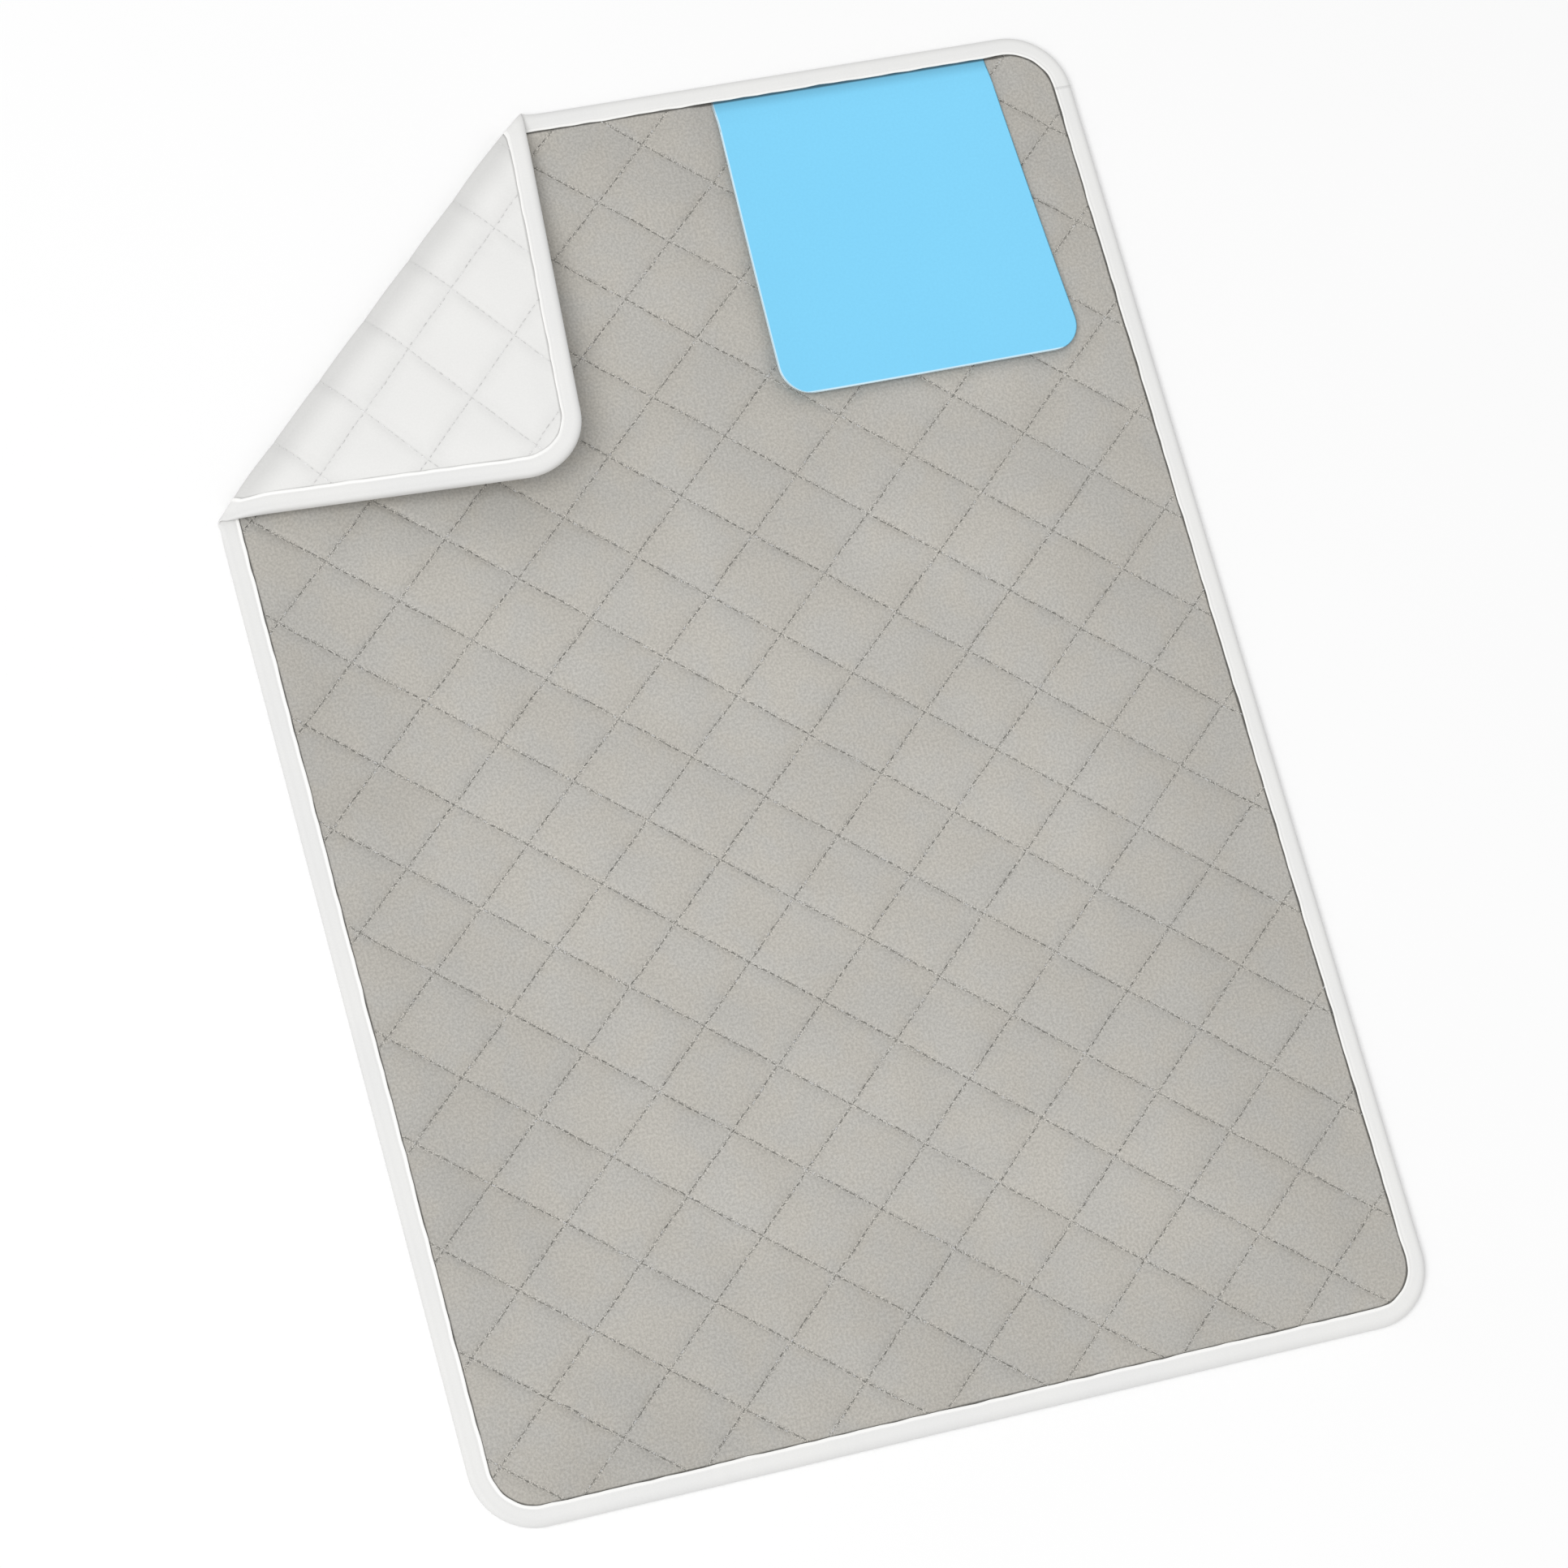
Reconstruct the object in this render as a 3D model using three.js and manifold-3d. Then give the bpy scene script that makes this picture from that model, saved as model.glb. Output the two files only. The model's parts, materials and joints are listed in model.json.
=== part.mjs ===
// A quilted ironing mat: grey cover, padding, reflective film and white backing in a white bound edge,
// with a label tucked under the binding and one corner folded back over the face.
// Millimetres, +Z up. The mat lies on Z = 0, centred on the origin, its long side along Y.

import * as THREE from 'three';
import { mergeGeometries, mergeVertices } from 'three/addons/utils/BufferGeometryUtils.js';
import Module from 'manifold-3d';

const wasm = await Module();
wasm.setup();

// Mat and binding
const WIDTH = 500;
const LENGTH = 700;
const CORNER_RADIUS = 32;
const BINDING_WIDTH = 10;
const BINDING_ROUND = 2.6;
const TAPE_THICKNESS = 0.8;

// Layers, from the face down, with their thickness where the seams press them
const COVER_THICKNESS = 0.6;
const BATTING_THICKNESS = 1.0;
const FILM_THICKNESS = 0.2;
const BACKING_THICKNESS = 0.6;
const LAYER_CLEARANCE = 0.3;
const LAYER_EDGE_INSET = 3.0;

// Quilting: diamonds between two families of seams, puffed up between the seams
const DIAMOND_WIDTH = 62.1;
const DIAMOND_HEIGHT = 53.5;
const QUILT_OFFSET_X = 14.5;
const QUILT_OFFSET_Y = 3.5;
const FACE_CROWN = 1.2;
const BACK_CROWN = 0.8;
const CROWN_FADE = 26;

// Sewing thread
const THREAD_WIDTH = 0.5;
const THREAD_HEIGHT = 0.25;
const EDGE_RUN_STEP = 0.03;
const THREAD_CLEARANCE = 0.15;
const SEAM_INSET = 5.2;

// Label: a flared tab whose upper end is caught under the binding
const LABEL_TOP_WIDTH = 151;
const LABEL_BOTTOM_WIDTH = 167;
const LABEL_DROP = 163.6;
const LABEL_FROM_RIGHT = 118.5;
const LABEL_CORNER_RADIUS = 16.5;
const LABEL_THICKNESS = 0.8;
const LABEL_CLEARANCE = 0.4;
const TONGUE_THICKNESS = 0.4;
const TONGUE_DEPTH = 3.6;

// Folded corner: how far the fold reaches from the square corner along each edge, and how far it turns
const FOLD_ALONG_TOP = 206;
const FOLD_ALONG_SIDE = 184.6;
const FOLD_ANGLE = 167.3;
const FOLD_CLEARANCE = 0.3;

// Facets
const CORNER_STEPS = 6;
const ROUND_STEPS = 3;
const FOLD_STEPS = 12;
const WELD_DISTANCE = 1e-4;

// Heights of the layers, stacked from the floor
const BACKING_Z = TAPE_THICKNESS + LAYER_CLEARANCE;
const FILM_Z = BACKING_Z + BACKING_THICKNESS + LAYER_CLEARANCE;
const BATTING_Z = FILM_Z + FILM_THICKNESS + LAYER_CLEARANCE;
const COVER_Z = BATTING_Z + BATTING_THICKNESS + LAYER_CLEARANCE;
const FALLING_THREAD_Z = COVER_Z + COVER_THICKNESS + THREAD_CLEARANCE;
const RISING_THREAD_Z = FALLING_THREAD_Z + THREAD_HEIGHT + THREAD_CLEARANCE;
const TONGUE_Z = RISING_THREAD_Z + THREAD_HEIGHT + THREAD_CLEARANCE;
const LIP_Z = TONGUE_Z + Math.max(TONGUE_THICKNESS, THREAD_HEIGHT) + THREAD_CLEARANCE;
const MAT_HEIGHT = LIP_Z + TAPE_THICKNESS;
const LABEL_Z = Math.max(COVER_Z + COVER_THICKNESS + FACE_CROWN, TONGUE_Z + TONGUE_THICKNESS) + LAYER_CLEARANCE;

// Fold axis: from the left edge to the top edge, just above everything that lies on the face
const foldStart = new THREE.Vector3(-WIDTH / 2, LENGTH / 2 - FOLD_ALONG_SIDE, 0);
const foldEnd = new THREE.Vector3(-WIDTH / 2 + FOLD_ALONG_TOP, LENGTH / 2, 0);
const foldAxis = foldEnd.clone().sub(foldStart).normalize();
const foldOutward = new THREE.Vector3(-foldAxis.y, foldAxis.x, 0);
const foldLength = foldStart.distanceTo(foldEnd);
const FOLD_AXIS_Z = MAT_HEIGHT + FOLD_CLEARANCE;
const foldTurn = THREE.MathUtils.degToRad(FOLD_ANGLE);
const reach = WIDTH + LENGTH;

// Materials
function cloth(color, roughness) {
  return new THREE.MeshStandardMaterial({ color, roughness, metalness: 0 });
}
const coverCloth = cloth(0xbcb9b0, 0.85);
const battingFill = cloth(0xf3efe4, 0.95);
const filmFoil = new THREE.MeshStandardMaterial({ color: 0xd5d8dc, roughness: 0.25, metalness: 1 });
const backingCloth = cloth(0xececea, 0.8);
const bindingTape = cloth(0xf0f0ee, 0.7);
const greyThread = cloth(0x77756e, 0.8);
const whiteThread = cloth(0xf6f6f4, 0.8);
const labelCard = cloth(0x87d7fa, 0.5);

// Closed meshes to solids for cutting, and back
function solidOf(geometry) {
  const bare = new THREE.BufferGeometry();
  bare.setAttribute('position', geometry.getAttribute('position'));
  bare.setIndex(geometry.getIndex());
  const welded = mergeVertices(bare, WELD_DISTANCE);
  return new wasm.Manifold(new wasm.Mesh({
    numProp: 3,
    vertProperties: new Float32Array(welded.getAttribute('position').array),
    triVerts: new Uint32Array(welded.getIndex().array),
  }));
}

function geometryOf(solid) {
  const mesh = solid.getMesh();
  const geometry = new THREE.BufferGeometry();
  geometry.setAttribute('position', new THREE.BufferAttribute(new Float32Array(mesh.vertProperties), 3));
  geometry.setIndex(new THREE.BufferAttribute(new Uint32Array(mesh.triVerts), 1));
  geometry.computeVertexNormals();
  return geometry;
}

// The mat's outline, drawn in from its outer edge by an inset, counterclockwise from the lower right corner
function outline(inset) {
  const radius = Math.max(CORNER_RADIUS - inset, WELD_DISTANCE * 10);
  const x = WIDTH / 2 - inset - radius;
  const y = LENGTH / 2 - inset - radius;
  const centres = [[x, -y], [x, y], [-x, y], [-x, -y]];
  const points = [];
  centres.forEach(([cx, cy], corner) => {
    for (let step = 0; step <= CORNER_STEPS; step += 1) {
      const angle = (corner - 1 + step / CORNER_STEPS) * Math.PI / 2;
      points.push(new THREE.Vector2(cx + radius * Math.cos(angle), cy + radius * Math.sin(angle)));
    }
  });
  return points;
}

function prismGeometry(points, low, high) {
  const geometry = new THREE.ExtrudeGeometry(new THREE.Shape(points), { depth: high - low, bevelEnabled: false });
  return geometry.translate(0, 0, low);
}

function prism(points, low, high) {
  return solidOf(prismGeometry(points, low, high));
}

// A profile carried through a row of sections; a closed row joins its last section to its first
function sweep(sections, profile, closed) {
  const count = profile.length;
  const spans = closed ? sections.length : sections.length - 1;
  const index = [];
  for (let span = 0; span < spans; span += 1) {
    const here = span * count;
    const next = ((span + 1) % sections.length) * count;
    for (let k = 0; k < count; k += 1) {
      const after = (k + 1) % count;
      index.push(here + k, here + after, next + after, here + k, next + after, next + k);
    }
  }
  if (!closed) {
    const last = (sections.length - 1) * count;
    for (const [a, b, c] of THREE.ShapeUtils.triangulateShape(profile, [])) {
      index.push(a, c, b, last + a, last + b, last + c);
    }
  }
  const geometry = new THREE.BufferGeometry();
  const positions = sections.flat().flatMap((point) => [point.x, point.y, point.z]);
  geometry.setAttribute('position', new THREE.Float32BufferAttribute(positions, 3));
  geometry.setIndex(index);
  return solidOf(geometry);
}

// A profile of (inset, height) points carried once round the mat's outline
function edgeRing(profile) {
  const rings = profile.map((point) => outline(point.x));
  const sections = rings[0].map((_, station) => profile.map(
    (point, k) => new THREE.Vector3(rings[k][station].x, rings[k][station].y, point.y),
  ));
  return sweep(sections, profile, true);
}

// A profile of (distance along the fold, height) points turned about the fold axis,
// with its two ends leaning so that they stay in line with the mat's left and top edges
function foldBend(profile) {
  const turned = profile.map((point) => new THREE.Vector2(point.x, FOLD_AXIS_Z - point.y));
  if (THREE.ShapeUtils.isClockWise(turned)) turned.reverse();
  const sections = [];
  for (let step = 0; step <= FOLD_STEPS; step += 1) {
    const angle = foldTurn * step / FOLD_STEPS;
    sections.push(turned.map((point) => {
      const slant = point.x < foldLength / 2 ? foldAxis.y / foldAxis.x : -foldAxis.x / foldAxis.y;
      const lean = slant * point.y * Math.sin(Math.PI * step / FOLD_STEPS);
      return foldStart.clone()
        .addScaledVector(foldAxis, point.x + lean)
        .addScaledVector(foldOutward, point.y * Math.sin(angle))
        .setZ(FOLD_AXIS_Z - point.y * Math.cos(angle));
    }));
  }
  return sweep(sections, turned, false);
}

// Where an inset from the outer edge crosses the fold, measured along the fold
function alongFoldFromSide(inset) {
  return inset / foldAxis.x;
}

function alongFoldFromTop(inset) {
  return foldLength - inset / foldAxis.y;
}

// Everything on one side of the fold: +1 for the corner flap, -1 for the main panel
function foldSide(side) {
  const near = foldStart.clone().addScaledVector(foldOutward, side * FOLD_CLEARANCE);
  const far = foldStart.clone().addScaledVector(foldOutward, side * reach);
  const corners = [
    near.clone().addScaledVector(foldAxis, -reach),
    near.clone().addScaledVector(foldAxis, reach),
    far.clone().addScaledVector(foldAxis, reach),
    far.clone().addScaledVector(foldAxis, -reach),
  ];
  return prism(corners.map((corner) => new THREE.Vector2(corner.x, corner.y)), -MAT_HEIGHT, 2 * MAT_HEIGHT);
}
const panelSide = foldSide(-1);
const flapSide = foldSide(1);

// How far a diamond puffs up, from nothing beside the binding to all of its crown further in
function crownShare(x, y) {
  const fromSide = WIDTH / 2 - BINDING_WIDTH - Math.abs(x);
  const fromEnd = LENGTH / 2 - BINDING_WIDTH - Math.abs(y);
  return THREE.MathUtils.clamp(Math.min(fromSide, fromEnd) / CROWN_FADE, 0, 1);
}

// A slab whose two faces rise by their own crown at the middle of each diamond
function quiltedSlab(low, lowCrown, high, highCrown) {
  const half = Math.ceil(WIDTH / DIAMOND_WIDTH / 2 + LENGTH / DIAMOND_HEIGHT / 2) + 1;
  const side = 2 * half + 1;
  const positions = [];
  const index = [];
  function addPoint(i, j, crowned) {
    const x = QUILT_OFFSET_X + (i + j) * DIAMOND_WIDTH / 2;
    const y = QUILT_OFFSET_Y + (i - j) * DIAMOND_HEIGHT / 2;
    const share = crowned ? crownShare(x, y) : 0;
    positions.push(x, y, high + highCrown * share, x, y, low + lowCrown * share);
    return positions.length / 3 - 2;
  }
  for (let i = -half; i <= half; i += 1) {
    for (let j = -half; j <= half; j += 1) addPoint(i, j, false);
  }
  const at = (i, j) => 2 * ((i + half) * side + j + half);
  for (let i = -half; i < half; i += 1) {
    for (let j = -half; j < half; j += 1) {
      const middle = addPoint(i + 0.5, j + 0.5, true);
      const ring = [at(i, j), at(i, j + 1), at(i + 1, j + 1), at(i + 1, j)];
      ring.forEach((corner, k) => {
        const next = ring[(k + 1) % ring.length];
        index.push(corner, next, middle, next + 1, corner + 1, middle + 1);
      });
    }
  }
  for (let k = -half; k < half; k += 1) {
    const walls = [
      [at(-half, k), at(-half, k + 1)],
      [at(half, k + 1), at(half, k)],
      [at(k + 1, -half), at(k, -half)],
      [at(k, half), at(k + 1, half)],
    ];
    walls.forEach(([a, b]) => index.push(a, a + 1, b, b, a + 1, b + 1));
  }
  const geometry = new THREE.BufferGeometry();
  geometry.setAttribute('position', new THREE.Float32BufferAttribute(positions, 3));
  geometry.setIndex(index);
  return solidOf(geometry);
}

// A quilted layer: puffed inside the binding's window, flat where the binding holds it
function quiltedLayer(low, lowCrown, high, highCrown) {
  const window = prism(outline(BINDING_WIDTH), -MAT_HEIGHT, 2 * MAT_HEIGHT);
  const margin = prism(outline(LAYER_EDGE_INSET), low, high);
  const trimmed = prism(outline(LAYER_EDGE_INSET), -MAT_HEIGHT, 2 * MAT_HEIGHT);
  return quiltedSlab(low, lowCrown, high, highCrown).intersect(trimmed).intersect(window.add(margin));
}

// One family of quilting seams, slope +1 rising to the right or -1 falling, joined by its run along the edge
function quiltThread(slope, low) {
  const direction = new THREE.Vector2(DIAMOND_WIDTH, slope * DIAMOND_HEIGHT).normalize();
  const across = new THREE.Vector2(-direction.y, direction.x).multiplyScalar(THREAD_WIDTH / 2);
  const run = direction.clone().multiplyScalar(reach);
  const lines = Math.ceil(WIDTH / DIAMOND_WIDTH + LENGTH / DIAMOND_HEIGHT);
  const bars = [];
  for (let line = -lines; line <= lines; line += 1) {
    const middle = new THREE.Vector2(QUILT_OFFSET_X + line * DIAMOND_WIDTH, QUILT_OFFSET_Y);
    const corners = [
      middle.clone().sub(run).sub(across),
      middle.clone().add(run).sub(across),
      middle.clone().add(run).add(across),
      middle.clone().sub(run).add(across),
    ];
    bars.push(prismGeometry(corners, low + EDGE_RUN_STEP, low + THREAD_HEIGHT - EDGE_RUN_STEP));
  }
  const edgeRun = threadRing(SEAM_INSET, low);
  const inside = prism(outline(SEAM_INSET + THREAD_WIDTH / 2), low - THREAD_HEIGHT, low + 2 * THREAD_HEIGHT);
  return solidOf(mergeGeometries(bars)).intersect(inside).add(edgeRun);
}

function rectangle(left, low, right, high) {
  return [
    new THREE.Vector2(left, low),
    new THREE.Vector2(right, low),
    new THREE.Vector2(right, high),
    new THREE.Vector2(left, high),
  ];
}

// One run of thread all round the mat, under the binding
function threadRing(inset, low) {
  return edgeRing(rectangle(inset, low, inset + THREAD_WIDTH, low + THREAD_HEIGHT));
}

// Section of the binding as (inset, height): a tape wrapped round the edge, with a soft outer side
function bindingProfile() {
  const round = Math.min(BINDING_ROUND, MAT_HEIGHT / 2);
  const inner = Math.max(round, TAPE_THICKNESS * 2);
  const points = [
    new THREE.Vector2(BINDING_WIDTH, 0),
    new THREE.Vector2(BINDING_WIDTH, TAPE_THICKNESS),
    new THREE.Vector2(inner, TAPE_THICKNESS),
    new THREE.Vector2(TAPE_THICKNESS, inner),
    new THREE.Vector2(TAPE_THICKNESS, MAT_HEIGHT - inner),
    new THREE.Vector2(inner, LIP_Z),
    new THREE.Vector2(BINDING_WIDTH, LIP_Z),
    new THREE.Vector2(BINDING_WIDTH, MAT_HEIGHT),
  ];
  for (let step = 0; step <= ROUND_STEPS; step += 1) {
    const angle = step / ROUND_STEPS * Math.PI / 2;
    const inset = round * (1 - Math.sin(angle));
    points.push(new THREE.Vector2(inset, MAT_HEIGHT - round * (1 - Math.cos(angle))));
  }
  for (let step = 0; step <= ROUND_STEPS; step += 1) {
    const angle = step / ROUND_STEPS * Math.PI / 2;
    const inset = round * (1 - Math.cos(angle));
    points.push(new THREE.Vector2(inset, round * (1 - Math.sin(angle))));
  }
  return points;
}

// Outline of the label, from the point where it leaves the binding to its rounded lower end
function labelShape(top) {
  const bottom = top - LABEL_DROP;
  const flare = (LABEL_BOTTOM_WIDTH - LABEL_TOP_WIDTH) / 2;
  const slant = Math.atan2(flare, LABEL_DROP);
  const shape = [new THREE.Vector2(labelCentreX - LABEL_TOP_WIDTH / 2, top)];
  const lean = LABEL_CORNER_RADIUS * Math.tan((Math.PI / 2 - slant) / 2);
  const tangent = LABEL_CORNER_RADIUS * LABEL_CORNER_RADIUS / lean;
  for (const side of [-1, 1]) {
    const cornerX = labelCentreX + side * (LABEL_BOTTOM_WIDTH / 2 - tangent);
    for (let step = 0; step <= CORNER_STEPS; step += 1) {
      const share = side < 0 ? step / CORNER_STEPS : 1 - step / CORNER_STEPS;
      const angle = slant + share * (Math.PI / 2 - slant);
      const x = cornerX + side * LABEL_CORNER_RADIUS * Math.cos(angle);
      shape.push(new THREE.Vector2(x, bottom + LABEL_CORNER_RADIUS * (1 - Math.sin(angle))));
    }
  }
  shape.push(new THREE.Vector2(labelCentreX + LABEL_TOP_WIDTH / 2, top));
  return shape;
}

// Layers and threads across the whole mat, before the corner is folded
const labelTop = LENGTH / 2 - BINDING_WIDTH - LABEL_CLEARANCE;
const labelCentreX = WIDTH / 2 - LABEL_FROM_RIGHT;
const coverTop = COVER_Z + COVER_THICKNESS;
const backingTop = BACKING_Z + BACKING_THICKNESS;
const battingTop = BATTING_Z + BATTING_THICKNESS;
const sheets = {
  cover: [quiltedLayer(COVER_Z, FACE_CROWN, coverTop, FACE_CROWN), coverCloth],
  batting: [quiltedLayer(BATTING_Z, 0, battingTop, FACE_CROWN), battingFill],
  film: [prism(outline(LAYER_EDGE_INSET), FILM_Z, FILM_Z + FILM_THICKNESS), filmFoil],
  backing: [quiltedLayer(BACKING_Z, -BACK_CROWN, backingTop, -BACK_CROWN), backingCloth],
  binding: [edgeRing(bindingProfile()), bindingTape],
  binding_seam: [threadRing(SEAM_INSET, TONGUE_Z), whiteThread],
  thread_rising: [quiltThread(1, RISING_THREAD_Z), greyThread],
  thread_falling: [quiltThread(-1, FALLING_THREAD_Z), greyThread],
};

// Each layer's stretch round the bend of the fold
const bends = {
  cover: [COVER_Z, coverTop, coverCloth],
  batting: [BATTING_Z, battingTop, battingFill],
  film: [FILM_Z, FILM_Z + FILM_THICKNESS, filmFoil],
  backing: [BACKING_Z, backingTop, backingCloth],
};

function addPart(group, name, geometry, material) {
  const mesh = new THREE.Mesh(geometry, material);
  mesh.name = name;
  group.add(mesh);
  return mesh;
}

// Main panel
const mat = new THREE.Group();
for (const [name, [solid, material]] of Object.entries(sheets)) {
  addPart(mat, `panel_${name}`, geometryOf(solid.intersect(panelSide)), material);
}

// Bend between the panel and the flap
for (const [name, [low, high, material]] of Object.entries(bends)) {
  const start = alongFoldFromSide(LAYER_EDGE_INSET);
  const end = alongFoldFromTop(LAYER_EDGE_INSET);
  addPart(mat, `fold_${name}`, geometryOf(foldBend(rectangle(start, low, end, high))), material);
}
const bindingEnds = { side: alongFoldFromSide, top: alongFoldFromTop };
for (const [name, alongFold] of Object.entries(bindingEnds)) {
  const profile = bindingProfile().map((point) => new THREE.Vector2(alongFold(point.x), point.y));
  addPart(mat, `fold_binding_${name}`, geometryOf(foldBend(profile)), bindingTape);
}

// Corner flap, made flat and turned over about the fold axis
const flap = new THREE.Group();
flap.position.copy(foldStart).setZ(FOLD_AXIS_Z);
flap.quaternion.setFromAxisAngle(foldAxis, foldTurn);
for (const [name, [solid, material]] of Object.entries(sheets)) {
  const piece = addPart(flap, `flap_${name}`, geometryOf(solid.intersect(flapSide)), material);
  piece.position.copy(flap.position).negate();
}
mat.add(flap);

// Label and the tongue that holds it under the binding
const tongueLeft = labelCentreX - LABEL_TOP_WIDTH / 2;
const tongueOutline = rectangle(tongueLeft, labelTop, tongueLeft + LABEL_TOP_WIDTH, labelTop + TONGUE_DEPTH);
addPart(mat, 'label_tongue', prismGeometry(tongueOutline, TONGUE_Z, TONGUE_Z + TONGUE_THICKNESS), labelCard);
addPart(mat, 'label', prismGeometry(labelShape(labelTop), LABEL_Z, LABEL_Z + LABEL_THICKNESS), labelCard);

export default mat;
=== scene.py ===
"""Looks of a quilted ironing pad: a soft mat with a bound edge, one corner folded back and a blue label."""

import json
import math

import bmesh
import bpy
import numpy as np
from mathutils import Matrix, Vector


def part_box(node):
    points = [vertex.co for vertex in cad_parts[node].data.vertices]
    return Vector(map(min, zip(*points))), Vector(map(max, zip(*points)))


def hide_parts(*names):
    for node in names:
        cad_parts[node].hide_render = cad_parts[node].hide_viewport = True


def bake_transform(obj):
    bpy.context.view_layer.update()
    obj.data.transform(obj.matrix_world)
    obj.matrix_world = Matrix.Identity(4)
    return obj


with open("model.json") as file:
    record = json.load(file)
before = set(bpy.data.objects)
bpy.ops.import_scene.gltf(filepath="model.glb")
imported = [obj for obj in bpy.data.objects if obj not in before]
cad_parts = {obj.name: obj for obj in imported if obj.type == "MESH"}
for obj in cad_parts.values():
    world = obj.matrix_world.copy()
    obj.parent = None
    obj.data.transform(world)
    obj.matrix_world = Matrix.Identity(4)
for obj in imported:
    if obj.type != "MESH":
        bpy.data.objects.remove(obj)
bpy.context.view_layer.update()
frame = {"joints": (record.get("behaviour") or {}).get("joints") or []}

# Sizes and places taken from the frame, in metres
MM = 0.001
UP = Vector((0, 0, 1))
mat_low, mat_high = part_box("panel_binding")
cover_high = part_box("panel_cover")[1]
label_low, label_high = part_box("label")
tongue_low, tongue_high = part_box("label_tongue")
joints = {joint["name"]: joint for joint in frame["joints"]}
HALF_WIDTH = (mat_high.x - mat_low.x) / 2
HALF_LENGTH = (mat_high.y - mat_low.y) / 2
MAT_HEIGHT = mat_high.z
CLOTH_INSET = mat_high.x - cover_high.x
FOLD_POINT = np.array(joints["corner_fold"]["pos_m"])
FOLD_AXIS = np.array(joints["corner_fold"]["axis"])
FOLD_AXIS = FOLD_AXIS / np.linalg.norm(FOLD_AXIS)
FOLD_OUT = np.cross(UP, FOLD_AXIS)
FOLD_TURN = math.radians(max(abs(limit) for limit in joints["corner_fold"]["range_deg"]))
LABEL_MIDDLE_X = (label_low.x + label_high.x) / 2
LABEL_LENGTH = label_high.y - label_low.y
LABEL_TOP_WIDTH = tongue_high.x - tongue_low.x
LABEL_BOTTOM_WIDTH = label_high.x - label_low.x

# Outline of the mat
CORNER_RADIUS = 32 * MM
OUTLINE_CORNER_FACETS = 9

# Edge tape: two lips round the edge, each with a rolled ridge and a groove near its inner end
LIP_WIDTH = 10 * MM
LIP_POINTS = 15
LIP_CROWDING = 1.4
TAPE_THICKNESS = 0.7 * MM
TAPE_END_ROUND = TAPE_THICKNESS / 3
TAPE_SINK = 0.35 * MM
TAPE_ROUND = 3.0 * MM
TAPE_ROUND_POINTS = 8
TAPE_ROUND_POWER = 0.8
RIDGE_INSET = 0.8 * MM
RIDGE_HEIGHT = 0.30 * MM
RIDGE_SPREAD = 0.5 * MM
GROOVE_INSET = 2.0 * MM
GROOVE_DEPTH = 0.22 * MM
GROOVE_SPREAD = 0.6 * MM
TAPE_STEP = 3.8 * MM
TAPE_BEND_STEP = 0.45 * MM
TAPE_CORNER_STEPS = 18
LIP_WOBBLE = 0.22 * MM
WOBBLE_WAVES = (13, 29, 47, 71, 113, 167)
WOBBLE_SEED = 7

# Quilting in diamonds; pairs of wavelengths are the shortest and the longest
DIAMOND_WIDTH = 62.1 * MM
DIAMOND_HEIGHT = 53.5 * MM
QUILT_ORIGIN = np.array((14.5 * MM, 3.5 * MM))
RISING = np.array((DIAMOND_WIDTH, DIAMOND_HEIGHT)) / 2
FALLING = np.array((DIAMOND_WIDTH, -DIAMOND_HEIGHT)) / 2
LATTICE = np.linalg.inv(np.column_stack((RISING, FALLING)))
DIAMOND_SIDE = float(np.linalg.norm(RISING))
SEAM_SPACING = DIAMOND_WIDTH * DIAMOND_HEIGHT / 2 / DIAMOND_SIDE
WAVE_COUNT = 10
PUFF_SHAPE = 0.47
PUFF_VARIETY = 0.16
PUFF_WAVES = (30 * MM, 90 * MM)
PUFF_FADE_START = 8 * MM
PUFF_FADE_END = 22 * MM
FINE_DIVISIONS = 14
COARSE_DIVISIONS = 6
SEAM_CROWDING = 0.5
WELD = 0.05 * MM

# Heights of the layers where a seam pulls them together, and how far they puff out between the seams
COVER_SEAM_Z = 4.1 * MM
COVER_CROWN = 2.5 * MM
COVER_PUFF_SEED = 1
COVER_THICKNESS = 0.6 * MM
COVER_ROLL = 0.12 * MM
COVER_ROLL_WAVES = (60 * MM, 200 * MM)
COVER_ROLL_SEED = 3
COVER_EDGE_RISE = 1.3 * MM
EDGE_RISE_REACH = 12 * MM
BATTING_SEAM_Z = 3.0 * MM
BATTING_THICKNESS = 0.5 * MM
FILM_TOP_Z = 2.45 * MM
FILM_THICKNESS = 0.15 * MM
BACKING_SEAM_Z = 1.5 * MM
BACKING_CROWN = 1.2 * MM
BACKING_PUFF_SEED = 2
BACKING_THICKNESS = 0.5 * MM
BACKING_EDGE_DROP = 0.3 * MM

# Stitches; the ring values go from one end of a stitch of unit length to the other
STITCH_PITCH = 4.3 * MM
STITCH_JITTER = 0.24
STITCH_LENGTH = 2.7 * MM
STITCH_SHORTEST = 0.68
STITCH_VARIETY = 0.5
STITCH_SWING = 0.2
STITCH_RADIUS = 0.26 * MM
STITCH_LIFT = 0.06 * MM
STITCH_DIP = 0.34 * MM
STITCH_SIDES = 5
STITCH_END_INSET = 8.4 * MM
STITCH_MARK_STEP = 10 * MM
RING_ALONG = np.array((-0.5, -0.34, 0.0, 0.34, 0.5))
RING_THICKNESS = np.array((0.55, 0.95, 1.0, 0.95, 0.55))
RING_DIP = np.array((-1.0, -0.22, 0.0, -0.22, -1.0))
STITCH_RINGS = len(RING_ALONG)

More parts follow.
